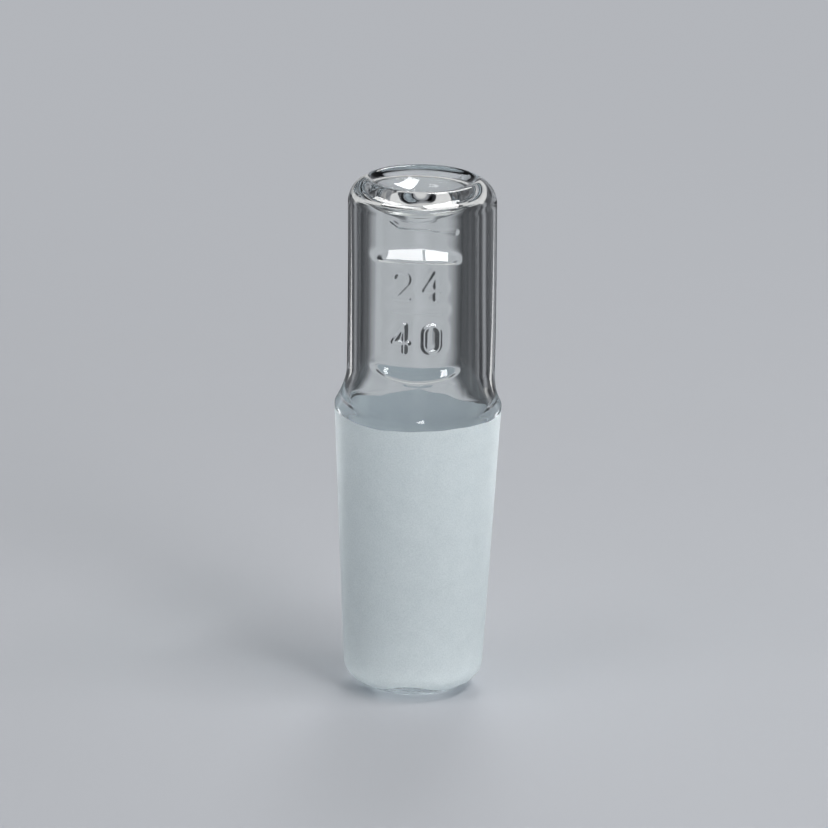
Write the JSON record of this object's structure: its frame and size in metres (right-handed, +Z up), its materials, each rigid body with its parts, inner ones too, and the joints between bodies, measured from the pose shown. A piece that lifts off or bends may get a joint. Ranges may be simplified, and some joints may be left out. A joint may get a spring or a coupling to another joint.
{
  "type": "glass stopper",
  "caption": "Hollow one-piece glass stopper with a ground conical joint, a clear cylindrical head with a dished top, a flared shoulder and a small clear foot.",
  "frame": {"origin": "middle of the foot, on the surface that the stopper stands on", "axes": "+Z up along the stopper's axis from the foot to the dished top, -Y towards the moulded size mark, X to the mark's sides"},
  "size_m": [0.024, 0.024, 0.0761],
  "materials": {
    "glass": "clear fire-polished borosilicate glass on the head, the shoulder and the foot, finely ground on the cone"
  },
  "bodies": {
    "root": {"stopper": "glass"}
  },
  "joints": []
}
